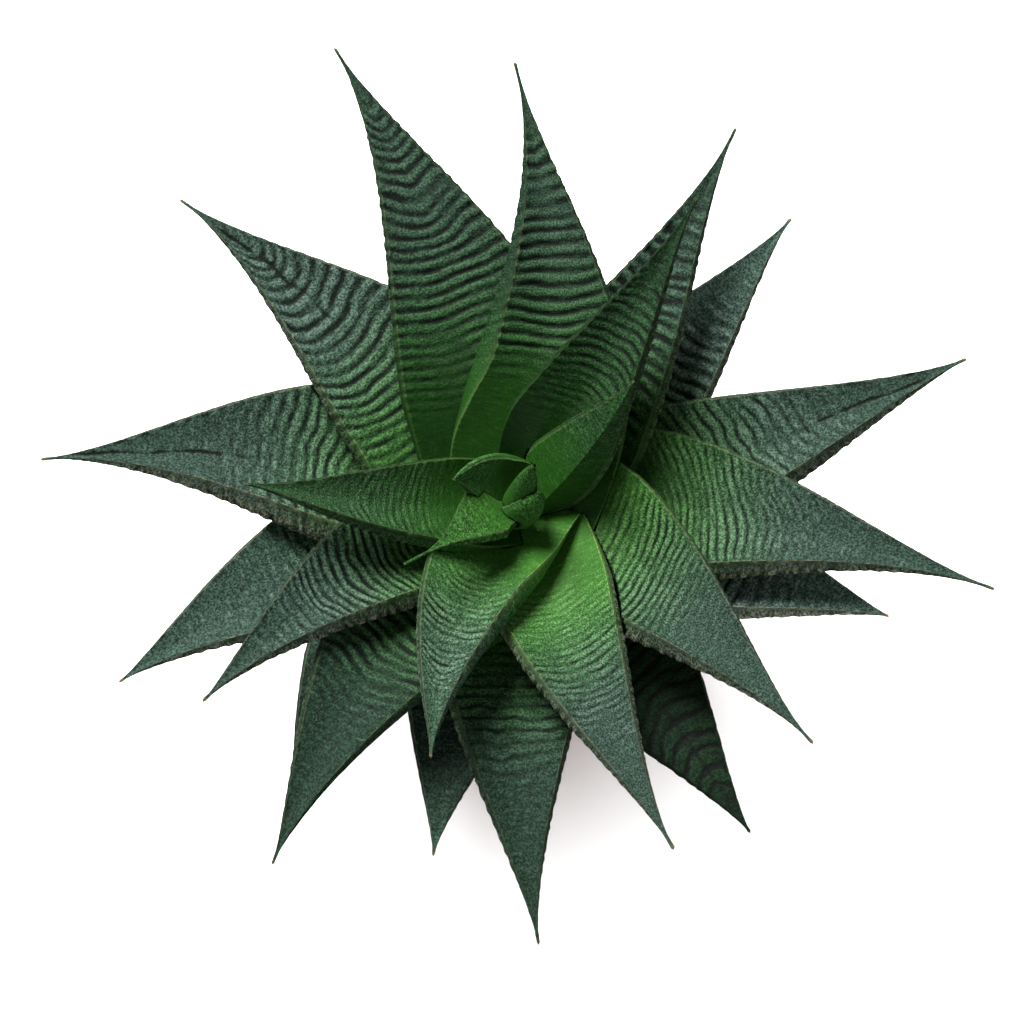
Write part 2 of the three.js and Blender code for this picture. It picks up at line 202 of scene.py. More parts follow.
# Rolled edges, margins and back. Places round a section are in degrees from the middle of the face or back,
# with the margins at 90.
EDGE_START = (0.12, 0.4)
MOST_ROLLED = 0.6
ROLLED_FROM = 50
WIDE_EDGE = 1.4
WIDE_EDGE_TURN = 26
BACK_EDGE = (60, 88)
TOOTHED_FROM = 80
TOOTHED_HALF = (0.2, 1.5)
MARGIN_BAND = 0.7
MARGIN_RELIEF = 0.3
MARGIN_NOTCHES = 1.4
BACK_RELIEF = 0.16
BACK_STRENGTH = 0.8
BACK_HALF = (0.4, 2.5)
BACK_PITCH = 1.25
BACK_SLANT = 0.7
BACK_RIDGES = 0.55
BACK_LUMPS = 0.45

# How far the patterns of the grain, the skin and the teeth are set off from one side of a leaf to the other
GRAIN_SHIFT = 20
SKIN_SHIFT = 30
TEETH_SHIFT = 3

# Values for the material: after which rank the back gets a colour of its own and over how many ranks, from
# which rank a leaf counts as old, where along a leaf its painted light and shade changes from the base's to
# the rest's, and how far the middle of the back is past the margin, as a share of half the face
BACK_COLOR_RANK = 2
BACK_COLOR_RISE = 5
OLDEST_AGE_RANK = 12
PAINTED_LIGHT_CHANGE = (0.22, 0.55)
PAST_MARGIN = 0.3

# Uneven patterns: height, length and width of the cells, and the seed, to which the leaf's rank is added
COARSE_WANDER = (0.8, 7, 5, 0)
FINE_WANDER = (0.34, 2, 2.2, 50)
BREAKS = (0.36, 1.7, 2.4, 100)
LUMPS = (0.5, 0.7, 1.1, 150)
GRAIN = (0.03, 0.5, 0.5, 200)
TEETH = (0.2, 0.55, 1, 220)
CREASE_WANDER = (0.3, 3, 1, 250)
CREASE_BREAKS = (0.35, 1.3, 1, 260)
UNEVEN_START = (0.06, 5, 4, 300)
UNEVEN_SLANT = (0.5, 2, 1.5, 400)
LUMPS_ON_BACK = (0.5, 0.7, 0.6, 420)


def leaf(tip, width, seat, bend, slope, taper, thick, channel, smooth, **own):
    """The shape of a leaf: its tip's azimuth, distance from the axis and height, and its full width. The
    azimuth of its seat on the stem and of its bend, both from the tip's. The slope at its base, how finely it
    tapers, its thickness, the depth of its channel as a share of its half width (a keel where negative), and
    the share of its length that has no ridges. Some leaves differ in how deep they start (tuck), in rolling
    over to the right, in how wide they are at the root, in where they are widest, or in how much more of
    their width lies on the right (skew)."""
    usual = {"tuck": 0, "roll": 0, "root": BASE_WIDTH_SHARE, "widest": WIDEST_AT, "skew": 0}
    shape = {
        "tip": tip, "width": width, "seat": seat, "bend": bend, "slope": slope, "taper": taper,
        "thick": thick, "channel": channel, "smooth": smooth,
    }
    return {**usual, **shape, **own}


def skin(pitch, relief, edge_left, edge_right, arch, sweep, sharp, fade, painted_light_base, light, crease=0):
    """The skin of a leaf: its ridges' pitch and height, the width of its rolled edges (where negative, the
    edge shows the back's colour), how far the ridges arch and sweep, how narrow the furrows are, where the
    ridges fade, the painted light and shade on the leaf at its base and beyond (a factor on its colour, low
    for a leaf that lies in shade and high for one that catches the light), and how strong its crease is."""
    return {
        "pitch": pitch, "relief": relief, "edge_left": edge_left, "edge_right": edge_right, "arch": arch,
        "sweep": sweep, "sharp": sharp, "fade": fade, "painted_light_base": painted_light_base, "light": light,
        "crease": crease,
    }


# The leaves, from the youngest
SHAPES = [
    leaf((55, 2.5, 70), 3.4, 180, 0, 4, 0.75, 2.4, 0.2, 0.75),
    leaf((215, 17.5, 68), 7.6, 57, 4, 1.6, 3.5, 1.8, 0.1, 0.31, tuck=4.5, root=0.2, widest=0.31, skew=0.5),
    leaf((350, 2.4, 66.5), 6.4, -90, -65, 4, 0.8, 1.2, 0.8, 0.75, tuck=-0.5),
    leaf((172.4, 8.3, 66.5), 8.6, -60, -40, 2, 1, 1.6, 0.25, 0.6),
    leaf((37, 17, 78), 8.8, -25, -12, 1.5, 1.3, 2.4, -0.8, 0.5, roll=24, skew=-0.2),
    leaf((180, 33.6, 69), 11.3, -10, 8, 0.8, 1.5, 3, 0.4, 0.3),
    leaf((58.5, 41.5, 73), 13.2, 20, -3, 0.8, 1.7, 3.2, 0.4, 0.34, root=0.3),
    leaf((252, 35.3, 66), 14, -22, -20, 0.65, 1.55, 3.2, 0.3, 0.35, tuck=4),
    leaf((90.8, 57, 63), 21.1, -10, -20.2, 0.5, 2, 3.6, 0.28, 0.34),
    leaf((213.2, 46.6, 61), 16.4, -25, -20, 0.5, 1.5, 3.4, 0.28, 0.3),
    leaf((292.8, 47.8, 62), 15.3, 0, -7, 0.5, 1.7, 3.6, 0.28, 0.28, tuck=1.2),
    leaf((319.5, 47, 60), 19.4, 75, 12, 0.48, 1.85, 3.6, 0.28, 0.24, tuck=3),
    leaf((235.8, 54.2, 56), 21.4, -20, -20, 0.4, 1.5, 3.6, 0.25, 0.3),
    leaf((61, 56.3, 60), 18, 0, -5, 0.42, 1.8, 3.6, 0.28, 0.25),
    leaf((111.4, 65.3, 58), 23.1, -15, -13.8, 0.38, 1.75, 3.8, 0.25, 0.36, widest=0.32),
    leaf((272.3, 54.1, 52), 20.6, -9, -9, 0.34, 1.6, 3.6, 0.25, 0.25),
    leaf((350.3, 59.8, 56), 21, 40, 16.8, 0.34, 1.8, 3.8, 0.25, 0.28),
    leaf((136.6, 59.7, 56), 23, -12, -12, 0.32, 1.75, 3.8, 0.25, 0.25, widest=0.34),
    leaf((306, 48.6, 48), 21.2, 2, 2, 0.3, 1.4, 3.6, 0.22, 0.2),
    leaf((20.2, 60.2, 53), 20.7, -7, -6, 0.3, 1.5, 3.8, 0.25, 0.25),
    leaf((173.4, 60.7, 55), 22.4, -22, -21.2, 0.3, 1.8, 3.8, 0.25, 0.25, widest=0.4),
    leaf((345.7, 47.8, 49), 20.6, 6, 6, 0.26, 1.3, 3.6, 0.22, 0.2),
    leaf((49.4, 53.4, 50), 20.2, -3, -3, 0.26, 1.5, 3.6, 0.22, 0.2),
    leaf((202, 54.3, 49), 23.3, -22, -23.5, 0.24, 1.4, 3.6, 0.22, 0.2),
    leaf((230.5, 45, 47), 20.4, -42, -42, 0.22, 1.2, 3.4, 0.22, 0.2),
    leaf((255.4, 43.3, 46.5), 20.6, -10, -10, 0.22, 1.4, 3.4, 0.22, 0.2),
]
# In each skin, the two numbers before the crease are the painted light and shade at the base and beyond
SKINS = [
    skin(1, 0.02, 0, 0, 0, 0, 1, 0.7, 1.3, 1.3),
    skin(1.2, 0.02, 0.3, 0.2, 0, 0, 1, 0.7, 1.2, 1.25),
    skin(1, 0.01, 0, 0, 0, 0, 1, 0.7, 1.4, 1.4),
    skin(1, 0.01, 0.5, 0.8, 0, 0, 1, 0.7, 1.1, 1.3),
    skin(1.2, 0.02, 0.2, 0.3, 0, 0, 1, 0.7, 0.8, 0.85),
    skin(0.95, 0.05, 0.8, 0.2, 1.5, 0, 1.2, 0.8, 0.8, 0.8),
    skin(1.3, 0.1, 0.2, -0.7, 1.5, 0, 1.5, 0.85, 0.36, 0.44),
    skin(1, 0.066, 1.5, 0.3, 4, 0, 1.8, 0.85, 1.7, 1.15),
    skin(1.6, 0.22, 3.2, -0.6, 0.5, -0.5, 1.35, 1, 0.72, 0.57),
    skin(1.1, 0.1, -2, 0.3, 1.5, 0, 1.2, 0.8, 1.2, 0.95),
    skin(1.05, 0.056, -0.7, -0.9, 1.5, 0, 1.8, 0.75, 2, 1.02),
    skin(1.05, 0.09, 0.3, -2.4, 2, -2, 1.5, 0.62, 1.4, 1.05),
    skin(1.4, 0.09, 1.3, -1.2, 1, 0, 1.1, 0.7, 0.8, 0.6),
    skin(1.6, 0.12, 0.3, -0.9, 0.5, 0, 1, 0.9, 0.6, 0.68, crease=0.5),
    skin(1.55, 0.22, -0.5, -0.6, -0.5, 0.5, 1.4, 1, 0.36, 0.57),
    skin(1.5, 0.075, -0.7, -1.3, 0.5, 0, 2, 0.7, 0.8, 0.62),
    skin(1.1, 0.085, 0.3, -2.6, 1, -3, 1.8, 0.66, 0.9, 1.02),
    skin(1.7, 0.14, -0.9, 0.3, -2.4, 1.3, 1.3, 0.95, 0.8, 0.97, crease=1),
    skin(1.9, 0.09, 0.4, -0.7, 0, 0, 2, 1, 0.15, 0.17, crease=0.6),
    skin(1.6, 0.085, 0.3, -2.6, 1, -2.5, 2.2, 0.75, 0.9, 0.95, crease=1),
    skin(1.6, 0.08, -3.2, 0.3, 0.5, 0, 1.3, 0.7, 1, 1.05, crease=1),
    skin(1.9, 0.14, 0.3, -2.4, 0.5, 0, 3, 0.8, 1.8, 2.1, crease=0.4),
    skin(1.6, 0.16, 0.3, -1, 0.5, 0, 1.3, 0.8, 1.2, 1.35),
    skin(1.5, 0.085, -2.2, 0.3, 0.5, 0, 1.6, 0.65, 0.9, 1.2, crease=0.6),
    skin(1.9, 0.08, -1, 0.4, 0.5, 0, 1.8, 0.7, 0.9, 0.9),
    skin(1.9, 0.08, -0.7, 0.5, 0.5, 0, 1.8, 0.7, 0.8, 0.85),
]
LEAVES = [{**shape, **own_skin} for shape, own_skin in zip(SHAPES, SKINS)]


# ---- Numbers ----

def smoothstep(x, low, high):
    t = np.clip((x - low) / (high - low), 0, 1)
    return t * t * (3 - 2 * t)


def lerp(a, b, t):
    return a + (b - a) * t


def lattice(ix, iy, seed):
    """A fixed random number from 0 to 1 for each pair of whole numbers."""
    n = (ix.astype(np.int64) * 374761393 + iy.astype(np.int64) * 668265263 + seed * 974634777) & 0xFFFFFFFF
    n = ((n ^ (n >> 13)) * 1274126177) & 0xFFFFFFFF
    return ((n ^ (n >> 16)) & 0xFFFF) / 65535.0


def noise(x, y, seed):
    """Smooth noise from -1 to 1 with cells one unit wide."""
    ix, iy = np.floor(x), np.floor(y)
    fx, fy = smoothstep(x - ix, 0, 1), smoothstep(y - iy, 0, 1)
    low = lerp(lattice(ix, iy, seed), lattice(ix + 1, iy, seed), fx)
    high = lerp(lattice(ix, iy + 1, seed), lattice(ix + 1, iy + 1, seed), fx)
    return 2 * lerp(low, high, fy) - 1


def uneven(pattern, rank, dist, across):
    """One of the uneven patterns on a leaf, from minus its height to its height."""
    height, cell_length, cell_width, seed = pattern
    return height * noise(dist / cell_length, across / cell_width, rank + seed)


def polar(azimuth, radius, height):
    angle = math.radians(azimuth)
    return np.array([math.cos(angle) * radius, math.sin(angle) * radius, height])


def unit(v):
    return v / np.maximum(np.linalg.norm(v, axis=-1, keepdims=True), 1e-9)


# ---- Meshes ----

def new_object(name, points, faces, values=None):
    """An object from points in millimetres, faces as lists of corners, and one number per point by name."""
    mesh = bpy.data.meshes.new(name)
    mesh.from_pydata((np.asarray(points) * MM).tolist(), [], faces)
    for key, data in (values or {}).items():
        attribute = mesh.attributes.new(key, "FLOAT", "POINT")
        attribute.data.foreach_set("value", np.asarray(data, dtype=np.float32).ravel())
    mesh.update()
    obj = bpy.data.objects.new(name, mesh)
    bpy.context.scene.collection.objects.link(obj)
    return obj


def shade_smooth(obj, degrees):
    """Shade a mesh smooth, apart from edges sharper than an angle."""
    mesh = obj.data
    mesh.polygons.foreach_set("use_smooth", np.ones(len(mesh.polygons), dtype=bool))
    mesh.set_sharp_from_angle(angle=math.radians(degrees))
    mesh.update()


def ring_points(rings, size):
    """The numbers of the points on all rings but the last, and of each one's neighbour on its ring."""
    here = np.arange((rings - 1) * size).reshape(rings - 1, size)
    return here, np.roll(here, -1, axis=1)


def tube_faces(rings, size):
    """Quads between rings of points, a cap on the first ring and a fan from the last to a point after it."""
    a, b = ring_points(rings, size)
    quads = np.stack([a, a + size, b + size, b], axis=-1).reshape(-1, 4).tolist()
    last = (rings - 1) * size
    fan = [[last + (i + 1) % size, last + i, rings * size] for i in range(size)]
    return quads + [list(range(size))] + fan


def lathe(name, profile, sides, shift=None):
    """A solid of revolution from [radius, height] points that start and end on the axis."""
    angles = np.arange(sides) * 2 * math.pi / sides
    inner = np.array(profile[1:-1], dtype=float)
    radius = np.repeat(inner[:, :1], sides, axis=1)
    height = np.repeat(inner[:, 1:], sides, axis=1)
    turn = np.repeat(angles[None, :], len(inner), axis=0)
    if shift is not None:
        radius, height = shift(radius, height, turn)
    points = np.stack([radius * np.cos(turn), radius * np.sin(turn), height], axis=-1).reshape(-1, 3)
    count = len(points)
    points = np.vstack([points, [[0, 0, profile[0][1]], [0, 0, float(np.mean(height[-1]))]]])
    a, b = ring_points(len(inner), sides)
    faces = np.stack([a, b, b + sides, a + sides], axis=-1).reshape(-1, 4).tolist()
    top = (len(inner) - 1) * sides
    faces += [[(i + 1) % sides, i, count] for i in range(sides)]
    faces += [[top + i, top + (i + 1) % sides, count + 1] for i in range(sides)]
    return new_object(name, points, faces)


def rounded(profile, radius, steps=4):
    """A profile of [radius, height] points, with an arc in place of each one that has a third number, which
    is the arc's size as a share of the radius given."""
    out = []
    for i, point in enumerate(profile):
        here = np.array(point[:2], dtype=float)
        if len(point) < 3:
            out.append(here.tolist())
            continue
        before, after = np.array(profile[i - 1][:2], float), np.array(profile[i + 1][:2], float)
        size = point[2] * radius
        start = here + unit(before - here) * size
        end = here + unit(after - here) * size
        for k in range(steps + 1):
            t = k / steps
            out.append(((1 - t) ** 2 * start + 2 * t * (1 - t) * here + t * t * end).tolist())
    return out


def combine(target, tool, operation):
    """Give the target the mesh of its Boolean with another object."""
    modifier = target.modifiers.new("combine", "BOOLEAN")
    modifier.operation = operation
    modifier.solver = "MANIFOLD"
    modifier.object = tool
    depsgraph = bpy.context.evaluated_depsgraph_get()
    mesh = bpy.data.meshes.new_from_object(target.evaluated_get(depsgraph))
    target.modifiers.remove(modifier)
    target.data = mesh


def islands(mesh):
    """The number of the connected part that each vertex belongs to."""
    edges = np.empty(len(mesh.edges) * 2, dtype=np.int32)
    mesh.edges.foreach_get("vertices", edges)
    one, other = edges.reshape(-1, 2).T
    label = np.arange(len(mesh.vertices))
    while True:
        low = np.minimum(label[one], label[other])
        after = label.copy()
        np.minimum.at(after, one, low)
        np.minimum.at(after, other, low)
        after = after[after]
        if np.array_equal(after, label):
            return label
        label = after


def keep_largest(obj):
    """Drop all but the largest connected part of a mesh."""
    label = islands(obj.data)
    names, counts = np.unique(label, return_counts=True)
    if len(names) == 1:
        return
    drop = np.flatnonzero(label != names[np.argmax(counts)]).tolist()
    bm = bmesh.new()
    bm.from_mesh(obj.data)
    bm.verts.ensure_lookup_table()
    bmesh.ops.delete(bm, geom=[bm.verts[i] for i in drop], context="VERTS")
    bm.to_mesh(obj.data)
    bm.free()


# ---- Shape of a leaf ----

def half_width(spec, along, tip_width=TIP_WIDTH):
    """Half a leaf's width: it grows to where the leaf is widest, and is then drawn out to the tip."""
    half = spec["width"] / 2
    rise = np.clip(along / spec["widest"], 0, 1)
    rise = rise ** NARROW_RISE if spec["root"] < NARROW_ROOT else np.sin(np.pi / 2 * rise)
    inner = half * lerp(spec["root"], 1, rise)
    out = np.clip((along - spec["widest"]) / (1 - spec["widest"]), 0, 1)
    drawn = half * (1 - out) ** spec["taper"] * (1 + (spec["taper"] - TIP_DRAW) * out)
    return np.where(along < spec["widest"], inner, np.maximum(tip_width / 2, drawn))


def thickness(spec, along, tip_thickness=TIP_THICKNESS):
    share = lerp(BASE_THICKNESS_SHARE, 1, smoothstep(along, 0, spec["widest"]))
    thinned = (half_width(spec, along) / (spec["width"] / 2)) ** TIP_THINNING
    outer = np.where(along < spec["widest"], 1, thinned)
    return np.maximum(tip_thickness, spec["thick"] * share * outer)


def leaf_curve(spec, rank):
    """The start, bend and tip of the quadratic curve that a leaf follows."""
    azimuth, reach, height = spec["tip"]
    base_height = FIRST_LEAF_BASE - LEAF_BASE_STEP * rank
    inward = min(1, (rank + 0.1) / HEART_LEAVES) ** HEART_SPREAD
    bend_radius = BEND_AT * reach + (LEAF_START_RADIUS - min(0, spec["tuck"])) * inward
    start = polar(azimuth + spec["seat"], LEAF_START_RADIUS * inward, base_height)
    start = start + polar(azimuth + spec["bend"], -(LEAF_ROOT + spec["tuck"]) * inward, 0)
    bend = polar(azimuth + spec["bend"], bend_radius, base_height + spec["slope"] * BEND_AT * reach)
    return start, bend, polar(azimuth, reach, height)


def on_curve(curve, t):
    t = t[..., None]
    return (1 - t) ** 2 * curve[0] + 2 * t * (1 - t) * curve[1] + t * t * curve[2]


def tangent(curve, t):
    t = t[..., None]
    return unit(2 * (1 - t) * (curve[1] - curve[0]) + 2 * t * (curve[2] - curve[1]))


def curve_length(curve):
    points = on_curve(curve, np.linspace(0, 1, 400))
    return float(np.linalg.norm(np.diff(points, axis=0), axis=1).sum())


def leaf_axes(spec, curve, t):
    """The directions to the left across a leaf and out of its face."""
    forward = tangent(curve, t)
    heading = curve[2] - curve[0] + polar(spec["tip"][0] + spec["seat"], SEAT_FACING, 0)
    left = unit(np.array([-heading[1], heading[0], 0.0]))
    left = unit(left - (forward @ left)[..., None] * forward)
    outward = np.cross(forward, left)
    roll = math.radians(spec["roll"])
    return left * math.cos(roll) + outward * math.sin(roll), outward * math.cos(roll) - left * math.sin(roll)


def section(spec, along, grow, face, back, fine=False):
    """Across and out of the face for each station and each point round the section. The face's points go
    from -1 to 1, and the back's from 90 degrees to -90."""
    half = half_width(spec, along, FINE_TIP_WIDTH if fine else TIP_WIDTH)[:, None]
    thick = thickness(spec, along, FINE_TIP_THICKNESS if fine else TIP_THICKNESS)[:, None]
    x = face[None, :]
    angle = np.radians(back)[None, :]
    side = np.sin(angle)
    face_across = x * (half * (1 - spec["skew"] * np.sign(x)) + grow)
    power = CHANNEL_CURVE if spec["channel"] > 0 else KEEL_CURVE
    face_out = spec["channel"] * half * np.abs(x) ** power + grow
    bulge = BACK_BULGE * thick * np.abs(np.sin(2 * angle))
    back_across = (half * (1 - spec["skew"] * np.sign(side)) + bulge + grow) * side
    back_out = spec["channel"] * half * side ** 2 - (thick + grow) * np.cos(angle)
    return np.concatenate([face_across, back_across], 1), np.concatenate([face_out, back_out], 1)


def placed(spec, curve, along, across, out, base_shift=0):
    """The points of the sections in space, ring by ring. The first ring can be moved back from the base."""
    left, outward = leaf_axes(spec, curve, along)
    middle = on_curve(curve, along)
    middle[0] -= tangent(curve, np.array([0.0]))[0] * base_shift
    points = middle[:, None, :] + left[:, None, :] * across[..., None] + outward[:, None, :] * out[..., None]
    return points.reshape(-1, 3)


# ---- Relief of a leaf ----

def ridges(spec, rank, dist, across, side, outer):
    """Height of the cross ridges, from 0 in a furrow to 1 on a crest."""
    bow = spec["arch"] * side ** 2 - spec["sweep"] * side - CHEVRON * np.abs(side) * outer
    wave = WAVE_HEIGHT * np.sin(across * WAVE_ACROSS + WAVE_SHIFT * rank + WAVE_ALONG * dist)
    calm = (1 - HIGH_CALM * smoothstep(spec["relief"], *HIGH_RELIEF)) * (1 + OUTER_WANDER * outer)
    wander = uneven(COARSE_WANDER, rank, dist, across) + uneven(FINE_WANDER, rank, dist, across)
    course = (wave + calm * wander) * min(1, spec["pitch"] / COARSEST_PITCH) ** 0.5
    phase = (dist + bow + course) / spec["pitch"]
    return smoothstep(0.5 + 0.5 * np.sin(2 * np.pi * phase), 0, 1 / spec["sharp"])


def crease(spec, rank, along, across, dist):
    """How strong the crease along the midrib is. It wanders a little and is broken in places."""
    middle = np.exp(-((across + uneven(CREASE_WANDER, rank, dist, 0 * dist)) / CREASE_WIDTH) ** 2)
    cut = spec["crease"] * middle * smoothstep(along, *CREASE_START) * (1 - smoothstep(along, *CREASE_END))
    return cut * (CREASE_UNBROKEN + uneven(CREASE_BREAKS, rank, dist, 0 * dist))


def face_pattern(spec, rank, along, across, length):
    """Height of the face's ridges, lumps and crease, and how strong they are."""
    dist = along * length
    half = half_width(spec, along)
    outer = smoothstep(along, *OUTER_HALF)
    side = lerp(np.clip(across / (spec["width"] / 2), -1, 1), np.clip(across / half, -1, 1), outer)
    fade = spec["fade"]
    crests = ridges(spec, rank, dist, across, side, outer)
    lumpy = TIP_RIDGES * crests + TIP_LUMPS * (0.5 + uneven(LUMPS, rank, dist, across))
    height = lerp(crests, lumpy, smoothstep(along, fade - 0.2, fade + 0.15))

    share = along + uneven(UNEVEN_START, rank, dist, across)
    start = smoothstep(share, spec["smooth"] * 0.7, spec["smooth"] * 1.3 + 0.08)
    tip = 1 - TIP_FADING * smoothstep(along, fade - 0.25, fade + 0.1)
    narrow = smoothstep(half, *NARROW_HALF)
    broken = UNBROKEN + uneven(BREAKS, rank, dist, across)
    strength = start * tip * narrow * broken * min(1, spec["relief"] / FULL_RELIEF)

    cut = crease(spec, rank, along, across, dist)
    return lerp(height, CREASE_DEPTH, cut), np.maximum(strength, cut)


def back_pattern(rank, dist, across):
    """Height of the slanting ridges on the back of a leaf."""
    slant = (dist + BACK_SLANT * np.abs(across) + uneven(UNEVEN_SLANT, rank, dist, across)) / BACK_PITCH
    lumps = 0.5 + uneven(LUMPS_ON_BACK, rank, dist, across)
    return BACK_RIDGES * (0.5 + 0.5 * np.sin(2 * np.pi * slant)) + BACK_LUMPS * lumps


class LeafGrid:
    """The points of a leaf's fine mesh: a ring for each station, across its face and then round its back."""

    def __init__(self, spec, rank):
        self.spec = spec
        self.rank = rank
        self.curve = leaf_curve(spec, rank)
        self.length = curve_length(self.curve)
        self.rows = max(FEWEST_STATIONS, int(self.length * STATIONS_PER_RIDGE / spec["pitch"]))
        columns = 2 * max(FEWEST_ACROSS, int(spec["width"] / ACROSS_STEP / 2))
        self.face = np.linspace(-1, 1, columns + 1)
        self.back = np.linspace(90, -90, columns // 2 + 3)[1:-1]
        self.along = np.linspace(0, 1 - FINE_TIP_CUT / self.length, self.rows)
        self.across, self.out = section(spec, self.along, 0, self.face, self.back, fine=True)
        self.is_back = np.append(np.zeros(len(self.face)), np.ones(len(self.back)))
        self.turn = np.radians(np.append(self.face * 90, self.back))
        self.edge = np.where(self.turn > 0, spec["edge_left"], spec["edge_right"])
        self.half = half_width(spec, self.along, FINE_TIP_WIDTH)[:, None]
        self.shares = np.repeat(self.along[:, None], len(self.turn), axis=1)
        self.dist = self.shares * self.length
        self.roll_edges()
        self.find_pattern()
        self.raise_relief()

    def roll_edges(self):
        """Make the face narrower than the back, by a rolled edge on each side."""
        edge = np.abs(self.edge)[None, :] * np.clip(self.half / (self.spec["width"] / 2), 0, 1)
        edge = edge * smoothstep(self.along, *EDGE_START)[:, None]
        turn = np.abs(self.turn)
        on_back = smoothstep(turn, math.radians(ROLLED_FROM), math.radians(90))
        rolled = np.where(self.is_back, on_back, turn * 2 / np.pi)
        inward = np.minimum(edge, MOST_ROLLED * self.half) * rolled[None, :]
        self.across = self.across - np.sign(self.turn)[None, :] * inward

    def find_pattern(self):
        """Height and strength of the pattern on the face, which fades at the margins, and on the back."""
        spec = self.spec
        height, strength = face_pattern(spec, self.rank, self.shares, self.across, self.length)
        turned = np.degrees(np.abs(self.turn)) + WIDE_EDGE_TURN * np.clip(self.edge / WIDE_EDGE, 0, 1)
        self.under = (self.is_back * (1 - smoothstep(turned, *BACK_EDGE)))[None, :]
        inside = 1 - smoothstep(np.abs(self.face), 1 - MARGIN_BAND / (spec["width"] / 2), 1)
        fade = np.append(lerp(MARGIN_RELIEF, 1, inside), np.full(len(self.back), MARGIN_RELIEF))
        self.fade = np.maximum(fade[None, :], self.under)
        self.rough = smoothstep(self.shares, spec["smooth"] * 0.4, spec["smooth"] + 0.25)
        back_strength = BACK_STRENGTH * self.rough * smoothstep(self.half, *BACK_HALF)
        self.height = lerp(height, back_pattern(self.rank, self.dist, self.across), self.under)
        self.strength = lerp(strength, back_strength, self.under)

    def raise_relief(self):
        """Push each point out of the section by the pattern, a fine grain and, on the margins, teeth."""
        relief, under = self.spec["relief"], self.under
        at_margin = smoothstep(np.abs(self.turn), math.radians(TOOTHED_FROM), math.radians(90))[None, :]
        depth = relief * np.maximum(self.fade, MARGIN_NOTCHES * at_margin) * (1 - under)
        depth = depth + max(BACK_RELIEF, relief) * under
        grain = uneven(GRAIN, self.rank, self.dist, self.across + GRAIN_SHIFT * self.is_back)
        side = 0 * self.dist + np.sign(self.turn)[None, :]
        teeth = uneven(TEETH, self.rank, self.dist, side * TEETH_SHIFT)
        push = depth * (2 * self.height - 1) * self.strength + grain * self.rough
        push = push + teeth * at_margin * self.rough * smoothstep(self.half, *TOOTHED_HALF)
        step_across = np.roll(self.across, -1, 1) - np.roll(self.across, 1, 1)
        step_out = np.roll(self.out, -1, 1) - np.roll(self.out, 1, 1)
        norm = np.maximum(np.hypot(step_across, step_out), 1e-6)
        self.across = self.across - step_out / norm * push
        self.out = self.out + step_across / norm * push

    def points(self):
        """All points in space, the tip last."""
        tip = self.curve[2] - leaf_axes(self.spec, self.curve, np.array([1.0]))[1][0] * TIP_THICKNESS / 2
        return np.vstack([placed(self.spec, self.curve, self.along, self.across, self.out), tip[None, :]])

    def values(self):
        """What the leaf's material reads at each point, the tip last."""
        spec, rank = self.spec, self.rank
        along = np.append(self.shares.ravel(), 1)
        past_margin = 1 + PAST_MARGIN * (1 - np.abs(self.back) / 90)
        around = np.append(self.face, np.sign(self.back) * past_margin)
        old = min(1, max(0, rank - BACK_COLOR_RANK) / BACK_COLOR_RISE)
        # Painted light and shade: furrows and the crease coloured darker, and crests lighter, than their
        # height alone gives
        coloured = 0.5 + RIDGE_PAINTED_LIGHT_AND_SHADE * (self.height - 0.5) * self.strength * self.fade
        return {
            "along": along,
            "ridge": np.append(coloured.ravel(), 0.5),
            "rough": np.append(self.rough.ravel(), 1),
            "back": np.append(np.repeat(self.under, self.rows, 0).ravel() * old, 0),
            "around": np.append(np.repeat(around[None, :], self.rows, 0).ravel(), 0),
            "u": np.append(self.dist.ravel(), self.length),
            "v": np.append((self.across + SKIN_SHIFT * self.is_back).ravel(), 0),
            "age": np.full(len(along), min(1, rank / OLDEST_AGE_RANK)),
            # Painted light and shade: a factor on the leaf's colour, from its base to beyond
            "painted_light_level": lerp(spec["painted_light_base"], spec["light"], smoothstep(along, *PAINTED_LIGHT_CHANGE)),
        }


def leaf_mesh(spec, rank):
    grid = LeafGrid(spec, rank)
    faces = tube_faces(grid.rows, len(grid.turn))
    return new_object(f"leaf_skin_{rank + 1:02d}", grid.points(), faces, grid.values())


def leaf_room(spec, rank):
    """The space that a leaf and its ridges take up, which an older leaf keeps clear of."""
    grow = CONTACT_GAP + RELIEF_ROOM * spec["relief"]
    curve = leaf_curve(spec, rank)
    along = np.linspace(0, ROOM_END, ROOM_STATIONS)
    face = np.linspace(-1, 1, ROOM_COLUMNS)
    back = np.linspace(90, -90, ROOM_COLUMNS)[1:-1]
    across, out = section(spec, along, grow, face, back)
    tip = curve[2] + tangent(curve, np.array([1.0]))[0] * 2 * grow
    points = np.vstack([placed(spec, curve, along, across, out, base_shift=grow), tip[None, :]])
    return new_object(f"room_{rank + 1:02d}", points, tube_faces(ROOM_STATIONS, across.shape[1]))


# ---- Materials ----

def srgb(r, g, b):
    """A colour given as it looks on a screen, from 0 to 255."""
    linear = [(c / 255) / 12.92 if c <= 10 else ((c / 255 + 0.055) / 1.055) ** 2.4 for c in (r, g, b)]
    return (*linear, 1)


